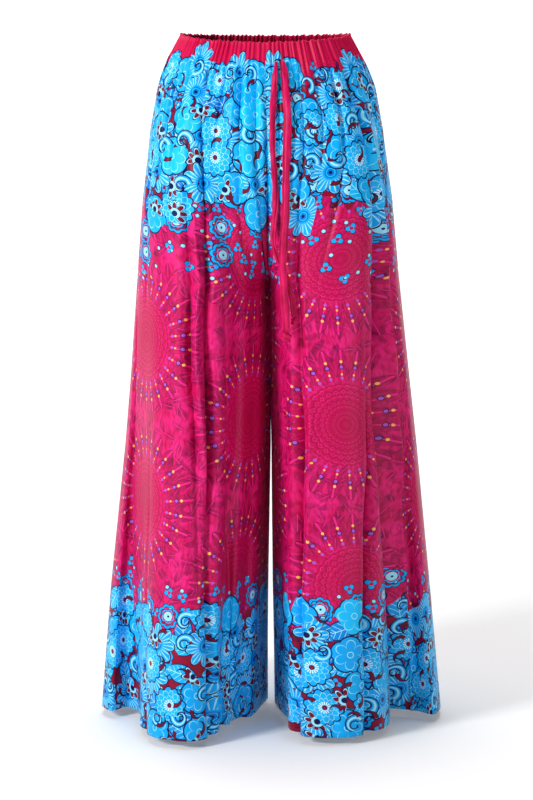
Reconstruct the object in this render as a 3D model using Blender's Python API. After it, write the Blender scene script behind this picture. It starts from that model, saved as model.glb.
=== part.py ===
"""Palazzo pants, filled out as if worn, with nobody inside.

Metres, +Z up. The wearer faces -Y, so the wearer's right leg is at -X. The origin is the middle
of the waist, halfway up the waistband at its sides.

A panel is a thin wall. Its rows run from the waistband down to the hem, and each row is a blend
of two outlines seen from above: the smooth oval of the worn form, which rules at the waist, and
the folded outline of the hem, which takes over on the way down.
"""

from math import pi, sin

import bmesh
import bpy
import numpy as np

# Driving sizes.
LENGTH = 1.000  # side of the waistband's top edge down to the hem
BAND_HEIGHT = 0.030
BAND_WALL = 0.0034  # the casing folded over its elastic
BAND_PROUD = 0.0009  # how far the casing stands out from the panels' own surface
BAND_ROUNDING = 0.0010
CLOTH_WALL = 0.0012
SEAM_GAP = 0.0003
RISE = 0.330  # origin down to the crotch point
INSEAM_OPENS = -0.470  # height down to which the two legs' inner seams stay side by side
CURVE_START = -0.060  # height at which the centre seam starts to curve in under the crotch
CURVE_POWER = 2.1  # roundness of that curve
HIP_POWER = 1.5  # how the rest of a row turns from half an oval into a leg's own oval
SEAM_REACH = 0.40  # share of a row, next to the centre seam, that the curve pulls along
OVAL_POWER = 2.2  # 2 is an ellipse, more is squarer
FRONT_DIP = 0.011  # how much lower the waist sits at the centre front than at its sides
BACK_DIP = 0.003
DIP_FADES_OVER = 0.110
FOLD_POWER = 1.1  # how late the folds grow on the way down

BAND_TOP = BAND_HEIGHT / 2
BAND_BOTTOM = -BAND_HEIGHT / 2
PANEL_TOP = BAND_BOTTOM - SEAM_GAP
HEM = BAND_TOP - LENGTH

# Mesh density.
TRUNK_ROWS = 8
LEG_ROWS = 10
COLUMNS = 22
BAND_COLUMNS = 16  # in each quarter of the waist
OUTLINE_SAMPLES = 240

# The worn form. Half width is from the middle to the side seam; front and back are the depths of
# the oval on either side of the side seam; apart is half the gap between the legs; sway is how
# far the middle hangs to the wearer's left.
SECTIONS = [
    dict(z=0.015, half_width=0.1200, front=0.083, back=0.086, apart=0.0000, sway=0.0000),
    dict(z=-0.015, half_width=0.1375, front=0.092, back=0.098, apart=0.0000, sway=0.0000),
    dict(z=-0.060, half_width=0.1545, front=0.103, back=0.113, apart=0.0000, sway=0.0008),
    dict(z=-0.120, half_width=0.1675, front=0.112, back=0.128, apart=0.0000, sway=0.0020),
    dict(z=-0.220, half_width=0.1815, front=0.122, back=0.140, apart=0.0000, sway=0.0029),
    dict(z=-0.330, half_width=0.1910, front=0.130, back=0.142, apart=0.0000, sway=0.0038),
    dict(z=-0.470, half_width=0.2040, front=0.140, back=0.146, apart=0.0000, sway=0.0066),
    dict(z=-0.580, half_width=0.2150, front=0.149, back=0.150, apart=0.0000, sway=0.0082),
    dict(z=-0.700, half_width=0.2275, front=0.159, back=0.157, apart=0.0006, sway=0.0078),
    dict(z=-0.800, half_width=0.2380, front=0.167, back=0.162, apart=0.0014, sway=0.0076),
    dict(z=-0.985, half_width=0.2545, front=0.183, back=0.174, apart=0.0060, sway=0.0090),
]

# The hem seen from above: where each ridge and valley of the folds stands. Share is its place
# along the row, from 0 at the side seam to 1 at the inseam. Out is its distance from the middle,
# fore its distance in front of the side seam (less than 0 is behind), and starts the height at
# which it begins to show.
INSEAM = {
    "right": dict(share=1.0, out=0.006, fore=-0.045, starts=INSEAM_OPENS),
    "left": dict(share=1.0, out=0.006, fore=-0.045, starts=INSEAM_OPENS),
}
HEM_FOLDS = {
    "front_panel_right": [
        dict(share=0.05, out=0.240, fore=0.026, starts=-0.30),
        dict(share=0.11, out=0.220, fore=0.004, starts=-0.30),
        dict(share=0.18, out=0.198, fore=0.038, starts=-0.25),
        dict(share=0.32, out=0.190, fore=0.120, starts=-0.15),
        dict(share=0.42, out=0.166, fore=0.166, starts=-0.10),
        dict(share=0.52, out=0.118, fore=0.183, starts=-0.06),
        dict(share=0.60, out=0.084, fore=0.158, starts=-0.03),
        dict(share=0.68, out=0.077, fore=0.099, starts=-0.02),
        dict(share=0.73, out=0.062, fore=0.097, starts=-0.03),
        dict(share=0.79, out=0.049, fore=0.061, starts=-0.06),
        dict(share=0.85, out=0.032, fore=0.056, starts=-0.15),
        dict(share=0.93, out=0.017, fore=0.000, starts=-0.25),
    ],
    "front_panel_left": [
        dict(share=0.10, out=0.241, fore=0.044, starts=-0.10),
        dict(share=0.22, out=0.207, fore=0.016, starts=-0.03),
        dict(share=0.30, out=0.180, fore=0.040, starts=-0.10),
        dict(share=0.40, out=0.170, fore=0.100, starts=-0.25),
        dict(share=0.50, out=0.140, fore=0.146, starts=-0.25),
        dict(share=0.60, out=0.085, fore=0.168, starts=-0.10),
        dict(share=0.69, out=0.036, fore=0.146, starts=-0.10),
        dict(share=0.82, out=0.022, fore=0.062, starts=-0.20),
    ],
    "back_panel_right": [
        dict(share=0.09, out=0.244, fore=-0.042, starts=-0.10),
        dict(share=0.19, out=0.214, fore=-0.058, starts=-0.03),
        dict(share=0.33, out=0.203, fore=-0.128, starts=-0.10),
        dict(share=0.44, out=0.168, fore=-0.172, starts=-0.10),
        dict(share=0.54, out=0.132, fore=-0.140, starts=-0.03),
        dict(share=0.64, out=0.096, fore=-0.172, starts=-0.10),
        dict(share=0.76, out=0.052, fore=-0.150, starts=-0.15),
        dict(share=0.88, out=0.024, fore=-0.096, starts=-0.25),
    ],
    "back_panel_left": [
        dict(share=0.10, out=0.246, fore=-0.040, starts=-0.15),
        dict(share=0.20, out=0.216, fore=-0.044, starts=-0.05),
        dict(share=0.34, out=0.198, fore=-0.118, starts=-0.15),
        dict(share=0.46, out=0.160, fore=-0.170, starts=-0.10),
        dict(share=0.56, out=0.118, fore=-0.164, starts=-0.06),
        dict(share=0.66, out=0.098, fore=-0.112, starts=-0.03),
        dict(share=0.78, out=0.058, fore=-0.142, starts=-0.15),
        dict(share=0.90, out=0.022, fore=-0.098, starts=-0.25),
    ],
}

# The drawstring's free ends, from the waistband down: points chosen along each.
LONG_END = dict(
    radius=0.0045,
    route=[
        (0.0240, -0.0962, -0.0190),
        (0.0262, -0.1002, -0.0330),
        (0.0280, -0.1054, -0.0550),
        (0.0300, -0.1134, -0.0800),
        (0.0308, -0.1190, -0.1050),
        (0.0302, -0.1244, -0.1350),
        (0.0290, -0.1282, -0.1650),
        (0.0286, -0.1300, -0.1950),
        (0.0284, -0.1306, -0.2250),
        (0.0262, -0.1308, -0.2650),
        (0.0243, -0.1310, -0.3000),
        (0.0262, -0.1310, -0.3400),
        (0.0283, -0.1308, -0.3760),
        (0.0288, -0.1308, -0.3975),
    ],
    knot=dict(at=(0.0290, -0.1308, -0.4067), radius=0.0075, tall=0.0089),
)
SHORT_END = dict(
    radius=0.0032,
    route=[
        (0.0150, -0.0949, -0.0200),
        (0.0138, -0.0986, -0.0330),
        (0.0122, -0.1042, -0.0550),
        (0.0105, -0.1106, -0.0800),
        (0.0096, -0.1154, -0.1050),
        (0.0100, -0.1192, -0.1450),
        (0.0115, -0.1207, -0.1650),
        (0.0140, -0.1217, -0.2000),
        (0.0138, -0.1219, -0.2250),
        (0.0115, -0.1219, -0.2500),
        (0.0110, -0.1219, -0.2720),
        (0.0155, -0.1219, -0.2900),
        (0.0250, -0.1219, -0.3120),
        (0.0335, -0.1219, -0.3350),
        (0.0385, -0.1219, -0.3550),
        (0.0412, -0.1219, -0.3790),
    ],
    knot=dict(at=(0.0414, -0.1219, -0.3853), radius=0.0048, tall=0.0060),
)
CORD_SIDES = 8
CORD_STEP = 2.0  # diameters from one point of a free end to the next

AZURE = (0.012, 0.33, 0.78, 1.0)
CRIMSON = (0.66, 0.012, 0.105, 1.0)


def smooth(value):
    """0 up to 0 and 1 from 1, with a soft start and end."""
    value = min(max(value, 0.0), 1.0)
    return value * value * (3 - 2 * value)


def section(z):
    """The worn form's sizes at a height, read between the table's rows."""
    depths = [-row["z"] for row in SECTIONS]
    return {name: float(np.interp(-z, depths, [row[name] for row in SECTIONS])) for name in SECTIONS[0]}


def oval(z, depth_name, shares):
    """Points of the worn form from the side seam to the centre seam, or to the inseam lower down.

    The centre seam runs on the oval's depth at the waist and on none of it at the crotch.
    """
    sizes = section(z)
    fallen = min(max((CURVE_START - z) / (CURVE_START + RISE), 0.0), 1.0)
    seam = (1 - fallen ** CURVE_POWER) ** (1 / CURVE_POWER)
    hip = 1 - fallen ** HIP_POWER
    bend = 2 / OVAL_POWER
    end = pi - np.arcsin(hip ** (1 / bend))
    reach = abs(np.cos(end)) ** bend
    inner = sizes["apart"] + SEAM_GAP / 2
    half = (sizes["half_width"] - inner) / (1 + reach)
    angles = np.linspace(0, end, OUTLINE_SAMPLES)
    across, ahead = np.cos(angles), np.sin(angles)
    out = sizes["half_width"] - half + half * np.sign(across) * np.abs(across) ** bend
    fore = sizes[depth_name] * np.abs(ahead) ** bend
    steps = np.hypot(np.diff(out), np.diff(fore))
    along = np.concatenate([[0], np.cumsum(steps)]) / steps.sum()
    pulled = np.clip((along - 1 + SEAM_REACH) / SEAM_REACH, 0, 1)
    fore = fore + sizes[depth_name] * (seam - hip) * pulled ** 2 * (3 - 2 * pulled)
    # A share just past a seam mirrors the one just before it.
    within = 1 - np.abs(1 - np.abs(shares))
    facing = np.where((shares < 0) | (shares > 1), -1.0, 1.0)
    return np.stack([np.interp(within, along, out), np.interp(within, along, fore) * facing], axis=1)


def curve_through(places, values, wanted):
    """A smooth curve through values at places, read at the wanted places."""
    slopes = np.gradient(values, places, axis=0)
    index = np.clip(np.searchsorted(places, wanted, side="right") - 1, 0, len(places) - 2)
    width = (places[index + 1] - places[index])[:, None]
    t = ((wanted - places[index]) / width[:, 0])[:, None]
    start, finish = values[index], values[index + 1]
    slope_in, slope_out = slopes[index] * width, slopes[index + 1] * width
    rest = 1 - t
    return (
        rest * rest * (1 + 2 * t) * start
        + t * t * (3 - 2 * t) * finish
        + t * rest * rest * slope_in
        - t * t * rest * slope_out
    )


def hem_outline(front, side, shares):
    """The folded hem of one panel, and the height at which each place along it starts to fold."""
    side_seam = dict(share=0.0, out=SECTIONS[-1]["half_width"], fore=0.0, starts=-0.10)
    own = [side_seam, *HEM_FOLDS[f"{front}_panel_{side}"], INSEAM[side]]
    other_name = "back" if front == "front" else "front"
    other = [side_seam, *HEM_FOLDS[f"{other_name}_panel_{side}"], INSEAM[side]]
    # Two rows of the neighbour past each seam keep the curve smooth across the seam.
    before = [dict(row, share=-row["share"]) for row in other[2:0:-1]]
    after = [dict(row, share=2 - row["share"]) for row in other[-2:-4:-1]]
    rows = before + own + after
    places = np.array([row["share"] for row in rows])
    values = np.array([(row["out"], row["fore"]) for row in rows])
    starts = np.interp(shares, [row["share"] for row in own], [row["starts"] for row in own])
    return curve_through(places, values, shares), starts


def waist_dip(front, share, z):
    """How much lower the waist sits at this place than at its sides; it fades out down the hip."""
    deepest = FRONT_DIP if front == "front" else BACK_DIP
    fade = smooth(1 - max(0.0, PANEL_TOP - z) / DIP_FADES_OVER)
    return deepest * np.sin(share * pi / 2) * fade


def panel_row(front, side, z, shares):
    """One row of a panel seen from above, the worn oval blended into the folded hem, and the unit
    vectors that point out of the garment along it."""
    step = shares[1] - shares[0]
    shares = np.concatenate([[-step], shares, [1 + step]])
    sizes, lowest = section(z), SECTIONS[-1]
    folded, starts = hem_outline(front, side, shares)
    grown = np.clip((starts - z) / (starts - HEM), 0, 1) ** FOLD_POWER
    narrow = sizes["half_width"] / lowest["half_width"]
    shallow = (sizes["front"] + sizes["back"]) / (lowest["front"] + lowest["back"])
    folded = folded * [narrow, shallow]
    smooth_oval = oval(z, front, shares)
    if front == "back":
        smooth_oval = smooth_oval * [1, -1]
    line = smooth_oval + (folded - smooth_oval) * grown[:, None]
    if z > -RISE:
        line[-1] = 2 * line[-2] - line[-3]
    return line[1:-1], outward(line, 1 if front == "front" else -1)[1:-1]


def outward(line, outside):
    """Unit vectors square to a line seen from above, on its right side, or its left where -1."""
    tangent = np.gradient(line, axis=0)
    normal = np.stack([tangent[:, 1], -tangent[:, 0]], axis=1) * outside
    return normal / np.linalg.norm(normal, axis=1)[:, None]


def panel_heights():
    """Rows from the waistband to the crotch, closer where the seam curves, then down to the hem."""
    turns = [pi / 2 * step / TRUNK_ROWS for step in range(TRUNK_ROWS + 1)]
    trunk = [CURVE_START - (CURVE_START + RISE) * sin(turn) for turn in turns]
    leg = [-RISE + (HEM + RISE) * step / LEG_ROWS for step in range(1, LEG_ROWS + 1)]
    return [PANEL_TOP, *trunk, *leg]


def add_object(name, mesh, colour, roughness):
    material = bpy.data.materials.new(name + "_cloth")
    material.use_nodes = True
    shader = material.node_tree.nodes["Principled BSDF"]
    shader.inputs["Base Color"].default_value = colour
    shader.inputs["Roughness"].default_value = roughness
    shader.inputs["Metallic"].default_value = 0.0
    mesh.materials.append(material)
    thing = bpy.data.objects.new(name, mesh)
    bpy.context.scene.collection.objects.link(thing)
    return thing


def closed_mesh(name, build):
    """A mesh from a function that fills a bmesh, with its faces pointing out."""
    shape = bmesh.new()
    build(shape)
    bmesh.ops.recalc_face_normals(shape, faces=shape.faces)
    mesh = bpy.data.meshes.new(name)
    shape.to_mesh(mesh)
    shape.free()
    mesh.shade_smooth()
    return mesh


def make_panel(front, side):
    """One panel: an outer and an inner skin, closed along its four edges."""
    shares = np.linspace(0, 1, COLUMNS + 1)
    ahead = -1 if front == "front" else 1
    across = -1 if side == "right" else 1

    def build(shape):
        skins = ([], [])
        for z in panel_heights():
            line, ways = panel_row(front, side, z, shares)
            inner_line = line - ways * CLOTH_WALL
            sway = section(z)["sway"]
            for skin, points in zip(skins, (line, inner_line)):
                row = []
                for share, (out, fore) in zip(shares, points):
                    place = (
                        across * out + sway,
                        -fore + ahead * SEAM_GAP / 2,
                        z - waist_dip(front, share, z),
                    )
                    row.append(shape.verts.new(place))
                skin.append(row)
        outer, inner = skins
        last_row, last_column = len(outer) - 1, COLUMNS
        for skin in skins:
            for row in range(last_row):
                for column in range(last_column):
                    corners = (skin[row][column], skin[row][column + 1])
                    corners += (skin[row + 1][column + 1], skin[row + 1][column])
                    shape.faces.new(corners)
        for row in (0, last_row):
            for column in range(last_column):
                corners = (outer[row][column], outer[row][column + 1])
                corners += (inner[row][column + 1], inner[row][column])
                shape.faces.new(corners)
        for column in (0, last_column):
            for row in range(last_row):
                corners = (outer[row][column], outer[row + 1][column])
                corners += (inner[row + 1][column], inner[row][column])
                shape.faces.new(corners)

    name = f"{front}_panel_{side}"
    return add_object(name, closed_mesh(name, build), AZURE, 0.45)


def waist_ring(z):
    """Places right round the waist, each with its way out and its dip."""
    shares = np.linspace(0, 1, BAND_COLUMNS + 1)
    places = []
    for front, across in (("front", 1), ("front", -1), ("back", -1), ("back", 1)):
        line = oval(z, front, shares)
        line[-1, 0] = 0.0
        normal = outward(line, 1)
        normal[-1] = (0, 1)
        ahead = -1 if front == "front" else 1
        quarter = [
            (
                np.array([across * out, ahead * fore]),
                np.array([across * way[0], ahead * way[1]]),
                waist_dip(front, share, z),
            )
            for share, (out, fore), way in zip(shares, line, normal)
        ]
        forward = (front == "front") == (across > 0)
        places += quarter[:-1] if forward else quarter[:0:-1]
    return places


def make_waistband():
    """The gathered casing: a closed ring whose upper edge is rounded where the cloth folds over."""
    inside = BAND_PROUD - BAND_WALL
    profile = [
        dict(z=BAND_BOTTOM, off=BAND_PROUD),
        dict(z=BAND_TOP - BAND_ROUNDING, off=BAND_PROUD),
        dict(z=BAND_TOP, off=BAND_PROUD - BAND_ROUNDING),
        dict(z=BAND_TOP, off=inside + BAND_ROUNDING),
        dict(z=BAND_TOP - BAND_ROUNDING, off=inside),
        dict(z=BAND_BOTTOM, off=inside),
    ]

    def build(shape):
        rings = []
        for step in profile:
            ring = []
            for place, way, dip in waist_ring(step["z"]):
                x, y = place + way * step["off"]
                ring.append(shape.verts.new((x, y, step["z"] - dip)))
            rings.append(ring)
        count = len(rings[0])
        for lower, upper in zip(rings, rings[1:] + rings[:1]):
            for i in range(count):
                j = (i + 1) % count
                shape.faces.new((lower[i], lower[j], upper[j], upper[i]))

    return add_object("waistband", closed_mesh("waistband", build), CRIMSON, 0.5)


def make_free_end(name, end):
    """One free end of the drawstring: a tube along its route."""
    route = np.array(end["route"])
    steps = np.linalg.norm(np.diff(route, axis=0), axis=1)
    along = np.concatenate([[0], np.cumsum(steps)])
    count = int(along[-1] / (2 * end["radius"] * CORD_STEP)) + 2
    points = curve_through(along, route, np.linspace(0, along[-1], count))
    curve = bpy.data.curves.new(name, "CURVE")
    curve.dimensions = "3D"
    curve.bevel_depth = end["radius"]
    curve.bevel_resolution = CORD_SIDES // 4
    curve.use_fill_caps = True
    spline = curve.splines.new("POLY")
    spline.points.add(count - 1)
    for point, place in zip(spline.points, points):
        point.co = (*place, 1.0)
    return add_object(name, curve, CRIMSON, 0.5)


def make_knot(name, knot):
    """The knot in a free end: a soft lump, a little taller than it is wide."""

    def build(shape):
        bmesh.ops.create_uvsphere(shape, u_segments=12, v_segments=8, radius=1.0)
        bmesh.ops.scale(shape, vec=(knot["radius"], knot["radius"], knot["tall"]), verts=shape.verts)
        bmesh.ops.translate(shape, vec=knot["at"], verts=shape.verts)

    return add_object(name, closed_mesh(name, build), CRIMSON, 0.5)


def main():
    for thing in list(bpy.data.objects):
        bpy.data.objects.remove(thing)
    for front in ("front", "back"):
        for side in ("right", "left"):
            make_panel(front, side)
    make_waistband()
    for length, end in (("long", LONG_END), ("short", SHORT_END)):
        make_free_end(f"drawstring_{length}", end)
        make_knot(f"knot_{length}", end["knot"])


main()
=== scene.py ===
# %% [markdown]
# # Palazzo pants in printed satin
#
# Very wide trousers, standing open as if someone wore them. The lesson builds them the way the
# garment is made: four panels of printed cloth, a gathered casing with elastic, and a drawstring.
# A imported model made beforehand, the frame, says where each piece is and how big it is. This
# script gives every piece its real cloth: fine folds, gathers, a woven print and stitches.

# %% Libraries and the frame
from math import pi, radians

import bmesh
import bpy
import numpy as np
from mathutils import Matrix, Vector


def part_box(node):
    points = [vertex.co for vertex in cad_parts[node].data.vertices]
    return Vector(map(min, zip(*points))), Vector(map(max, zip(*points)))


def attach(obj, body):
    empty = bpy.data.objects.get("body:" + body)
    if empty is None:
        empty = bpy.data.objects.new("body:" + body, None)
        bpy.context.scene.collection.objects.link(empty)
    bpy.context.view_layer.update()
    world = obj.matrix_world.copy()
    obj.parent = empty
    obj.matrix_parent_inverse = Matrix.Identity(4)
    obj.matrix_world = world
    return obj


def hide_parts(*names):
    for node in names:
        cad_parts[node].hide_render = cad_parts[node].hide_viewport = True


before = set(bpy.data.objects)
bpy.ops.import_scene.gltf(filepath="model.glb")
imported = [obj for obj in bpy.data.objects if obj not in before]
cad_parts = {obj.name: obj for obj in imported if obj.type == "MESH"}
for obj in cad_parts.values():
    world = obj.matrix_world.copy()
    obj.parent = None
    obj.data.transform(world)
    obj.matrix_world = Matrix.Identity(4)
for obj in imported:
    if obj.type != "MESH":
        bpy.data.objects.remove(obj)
scene = bpy.context.scene
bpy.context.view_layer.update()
print("frame nodes:", sorted(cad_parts))

# %% [markdown]
# ## Sizes
#
# The waistband's box gives the height of the waist, and a panel's box gives the hem. The few sizes
# after that belong to the cut: how far down the crotch is, how roundly the centre seam curves, and
# how much lower the waist sits at the front than at the sides.

# %% Sizes of the cut
BAND_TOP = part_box("waistband")[1].z
BAND_BOTTOM = -BAND_TOP
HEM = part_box("front_panel_left")[0].z
RISE = 0.330
INSEAM_OPENS = -0.470
FINE = 400
CURVE_START = -0.060
CURVE_POWER = 2.1
HIP_POWER = 1.5
SEAM_REACH = 0.40
OVAL_POWER = 2.2
FRONT_DIP = 0.011
BACK_DIP = 0.003
DIP_FADES_OVER = 0.110
FOLD_POWER = 1.1
CASING_PROUD = 0.0009
CLOTH = 0.0006
QUARTERS = [(front, side) for front in ("front", "back") for side in ("right", "left")]
print(f"waist {BAND_TOP * 1000:.0f} mm above the origin, hem {-HEM * 1000:.0f} mm below it")

# %% [markdown]
# ## The worn form
#
# Trousers on a body are a set of sections, like the ribs of a boat. Each row below gives one
# section: its height, how far out the side seam is, how deep the oval is in front of that seam and
# behind it, half the gap between the legs, and how far the whole thing sways to one side.

# %% Sections of the worn form
SIZE_NAMES = ("half_width", "front", "back", "apart", "sway")


def rib(z, *sizes):
    """One section: its height and its sizes, in the order of their names."""
    return dict(zip(SIZE_NAMES, sizes), z=z)


SECTIONS = [
    rib(0.015, 0.1200, 0.083, 0.086, 0.0000, 0.0000),
    rib(-0.015, 0.1375, 0.092, 0.098, 0.0000, 0.0000),
    rib(-0.060, 0.1545, 0.103, 0.113, 0.0000, 0.0008),
    rib(-0.120, 0.1675, 0.112, 0.128, 0.0000, 0.0020),
    rib(-0.220, 0.1815, 0.122, 0.140, 0.0000, 0.0029),
    rib(-0.330, 0.1910, 0.130, 0.142, 0.0000, 0.0038),
    rib(-0.470, 0.2040, 0.140, 0.146, 0.0000, 0.0066),
    rib(-0.580, 0.2150, 0.149, 0.150, 0.0000, 0.0082),
    rib(-0.700, 0.2275, 0.159, 0.157, 0.0006, 0.0078),
    rib(-0.800, 0.2380, 0.167, 0.162, 0.0014, 0.0076),
    rib(-0.985, 0.2545, 0.183, 0.174, 0.0060, 0.0090),
]

# %% [markdown]
# The hem doesn't hang as an oval. Its spare cloth falls into ridges and valleys, and each row here
# is one of them, seen from above: its place along the panel, how far out from the middle it
# stands, how far forward of the side seam, and the height at which it starts to show.

# %% Ridges and valleys of the hem
def ridge(share, out, fore, starts):
    """One ridge or valley of a hem."""
    return dict(share=share, out=out, fore=fore, starts=starts)


SIDE_SEAM = ridge(0.0, SECTIONS[-1]["half_width"], 0.0, -0.10)
INSEAM = ridge(1.0, 0.006, -0.045, INSEAM_OPENS)
HEM_FOLDS = {
    ("front", "right"): [
        ridge(0.05, 0.240, 0.026, -0.30),
        ridge(0.11, 0.220, 0.004, -0.30),
        ridge(0.18, 0.198, 0.038, -0.25),
        ridge(0.32, 0.190, 0.120, -0.15),
        ridge(0.42, 0.166, 0.166, -0.10),
        ridge(0.52, 0.118, 0.183, -0.06),
        ridge(0.60, 0.084, 0.158, -0.03),
        ridge(0.68, 0.077, 0.099, -0.02),
        ridge(0.73, 0.062, 0.097, -0.03),
        ridge(0.79, 0.049, 0.061, -0.06),
        ridge(0.85, 0.032, 0.056, -0.15),
        ridge(0.93, 0.017, 0.000, -0.25),
    ],
    ("front", "left"): [
        ridge(0.10, 0.241, 0.044, -0.10),
        ridge(0.22, 0.207, 0.016, -0.03),
        ridge(0.30, 0.180, 0.040, -0.10),
        ridge(0.40, 0.170, 0.100, -0.25),
        ridge(0.50, 0.140, 0.146, -0.25),
        ridge(0.60, 0.085, 0.168, -0.10),
        ridge(0.69, 0.036, 0.146, -0.10),
        ridge(0.82, 0.022, 0.062, -0.20),
    ],
    ("back", "right"): [
        ridge(0.09, 0.244, -0.042, -0.10),
        ridge(0.19, 0.214, -0.058, -0.03),
        ridge(0.33, 0.203, -0.128, -0.10),
        ridge(0.44, 0.168, -0.172, -0.10),
        ridge(0.54, 0.132, -0.140, -0.03),
        ridge(0.64, 0.096, -0.172, -0.10),
        ridge(0.76, 0.052, -0.150, -0.15),
        ridge(0.88, 0.024, -0.096, -0.25),
    ],
    ("back", "left"): [
        ridge(0.10, 0.246, -0.040, -0.15),
        ridge(0.20, 0.216, -0.044, -0.05),
        ridge(0.34, 0.198, -0.118, -0.15),
        ridge(0.46, 0.160, -0.170, -0.10),
        ridge(0.56, 0.118, -0.164, -0.06),
        ridge(0.66, 0.098, -0.112, -0.03),
        ridge(0.78, 0.058, -0.142, -0.15),
        ridge(0.90, 0.022, -0.098, -0.25),
    ],
}


# %% Curves through the rows of a table
def hermite(places, values, slopes, wanted):
    """A smooth curve through values at places, with the slopes given there."""
    index = np.clip(np.searchsorted(places, wanted, side="right") - 1, 0, len(places) - 2)
    width = (places[index + 1] - places[index])[:, None]
    t = (wanted - places[index])[:, None] / width
    rest = 1 - t
    return (
        rest * rest * (1 + 2 * t) * values[index]
        + t * t * (3 - 2 * t) * values[index + 1]
        + t * rest * rest * slopes[index] * width
        - t * t * rest * slopes[index + 1] * width
    )


def smooth(value):
    """0 up to 0 and 1 from 1, with a soft start and end."""
    value = np.clip(value, 0.0, 1.0)
    return value * value * (3 - 2 * value)


SECTION_DEPTHS = np.array([-row["z"] for row in SECTIONS])
SECTION_SIZES = np.array([[row[name] for name in SIZE_NAMES] for row in SECTIONS])


def section(z):
    """The worn form's sizes at a height."""
    sizes = [np.interp(-z, SECTION_DEPTHS, column) for column in SECTION_SIZES.T]
    return dict(zip(SIZE_NAMES, sizes))


# %% [markdown]
# From the waist to the crotch a row is half of one oval. Below the crotch it is half of a leg's own
# oval. In between, the centre seam curves in under the body, and pulls the cloth near it along.

# %% The oval of a row
def oval(z, front, shares):
    """Places along a row of the worn form, from the side seam to the centre seam or inseam."""
    sizes = section(z)
    fallen = min(max((CURVE_START - z) / (CURVE_START + RISE), 0.0), 1.0)
    seam = (1 - fallen**CURVE_POWER) ** (1 / CURVE_POWER)
    hip = 1 - fallen**HIP_POWER
    bend = 2 / OVAL_POWER
    end = pi - np.arcsin(hip ** (1 / bend))
    half = (sizes["half_width"] - sizes["apart"]) / (1 + abs(np.cos(end)) ** bend)
    angles = np.linspace(0, end, FINE)
    across, ahead = np.cos(angles), np.sin(angles)
    out = sizes["half_width"] - half + half * np.sign(across) * np.abs(across) ** bend
    fore = sizes[front] * np.abs(ahead) ** bend
    steps = np.hypot(np.diff(out), np.diff(fore))
    along = np.concatenate([[0], np.cumsum(steps)]) / steps.sum()
    fore = fore + sizes[front] * (seam - hip) * smooth((along - 1 + SEAM_REACH) / SEAM_REACH)
    facing = 1 if front == "front" else -1
    return np.stack([np.interp(shares, along, out), facing * np.interp(shares, along, fore)], axis=1)


# %% The folded hem, and how it takes over from the oval on the way down
def hem_outline(front, side, shares):
    """The hem of one panel seen from above, and where each place along it starts to fold."""
    other_front = "back" if front == "front" else "front"
    own = [SIDE_SEAM, *HEM_FOLDS[front, side], INSEAM]
    other = [SIDE_SEAM, *HEM_FOLDS[other_front, side], INSEAM]
    before = [dict(row, share=-row["share"]) for row in other[2:0:-1]]
    after = [dict(row, share=2 - row["share"]) for row in other[-2:-4:-1]]
    rows = before + own + after
    places = np.array([row["share"] for row in rows])
    values = np.array([(row["out"], row["fore"]) for row in rows])
    outline = hermite(places, values, np.gradient(values, places, axis=0), shares)
    starts = np.interp(shares, [row["share"] for row in own], [row["starts"] for row in own])
    return outline, starts


def waist_dip(front, shares, z):
    """How much lower the waist sits along a row than at its sides."""
    deepest = FRONT_DIP if front == "front" else BACK_DIP
    return deepest * np.sin(shares * pi / 2) * smooth(1 - max(0.0, BAND_BOTTOM - z) / DIP_FADES_OVER)


def panel_form(front, side, shares, heights):
    """The smooth form of a panel: an array of rows by columns by x, y and z."""
    hem_line, starts = hem_outline(front, side, shares)
    lowest = section(HEM)
    across = -1 if side == "right" else 1
    rows = []
    for z in heights:
        sizes = section(z)
        narrow = sizes["half_width"] / lowest["half_width"]
        shallow = (sizes["front"] + sizes["back"]) / (lowest["front"] + lowest["back"])
        grown = np.clip((starts - z) / (starts - HEM), 0, 1)[:, None] ** FOLD_POWER
        worn = oval(z, front, shares)
        line = worn + (hem_line * [narrow, shallow] - worn) * grown
        up = z - waist_dip(front, shares, z)
        rows.append(np.stack([across * line[:, 0] + sizes["sway"], -line[:, 1], up], axis=1))
    return np.array(rows)


def unit(ways):
    """The same ways, each one long."""
    return ways / np.linalg.norm(ways, axis=-1, keepdims=True)


def outward(form, front, side):
    """Unit vectors that point out of the garment at every point of a panel."""
    down, along = np.gradient(form, axis=(0, 1))
    return unit(np.cross(along, down) * (1 if (front == "front") == (side == "left") else -1))


# %% [markdown]
# ## Creases in a table
#
# The big folds are in the form above. The next size down, the creases that catch the light on the
# way to the hem, are placed one by one. Each has a path down the panel, as pairs of a height and a
# share of the row, a width as a share of the row, and a depth at its top, middle and foot in
# millimetres. A depth below zero is a ridge that stands out.

# %% The table of creases
def fold(wide, deep, *path):
    """One crease: its width, its three depths and the pairs of its path."""
    return dict(wide=wide, deep=deep, path=path)


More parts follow.
